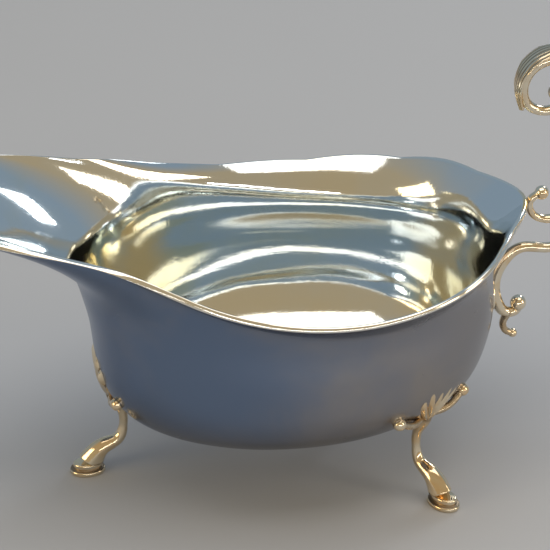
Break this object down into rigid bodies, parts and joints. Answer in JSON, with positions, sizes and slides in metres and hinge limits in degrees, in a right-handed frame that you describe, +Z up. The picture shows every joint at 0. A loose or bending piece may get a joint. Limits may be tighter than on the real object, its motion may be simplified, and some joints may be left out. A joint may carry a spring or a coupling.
{
  "type": "sauce boat",
  "caption": "Oval silver sauce boat with a wide pouring lip and cut wavy rim, cabriole legs with shell knuckles, and a leaf-capped flying scroll handle.",
  "frame": {"origin": "middle of the whole boat's plan box, on the surface its feet stand on", "axes": "+X towards the handle, -X towards the spout, +Z up, the XZ plane halves the boat"},
  "size_m": [0.1848, 0.0926, 0.1159],
  "materials": {
    "raised_silver": "hand polished sheet silver with fine rubbing scratches and a warm tarnish in the hollows",
    "cast_silver": "cast and chased silver, polished on the high places, warm tarnish in the grooves",
    "handle_silver": "cast silver scrolls, polished, with a warm golden tarnish"
  },
  "bodies": {
    "root": {"bowl": "raised_silver", "front_leg": "cast_silver", "front_hoof": "cast_silver", "front_shell": "cast_silver", "front_scrolls": "cast_silver", "rear_left_leg": "cast_silver", "rear_left_hoof": "cast_silver", "rear_left_shell": "cast_silver", "rear_left_scrolls": "cast_silver", "rear_right_leg": "cast_silver", "rear_right_hoof": "cast_silver", "rear_right_shell": "cast_silver", "rear_right_scrolls": "cast_silver", "handle_main_scroll": "handle_silver", "handle_lower_scroll": "handle_silver", "handle_leaf": "handle_silver", "handle_lower_curl": "handle_silver", "handle_boss": "handle_silver"}
  },
  "joints": []
}
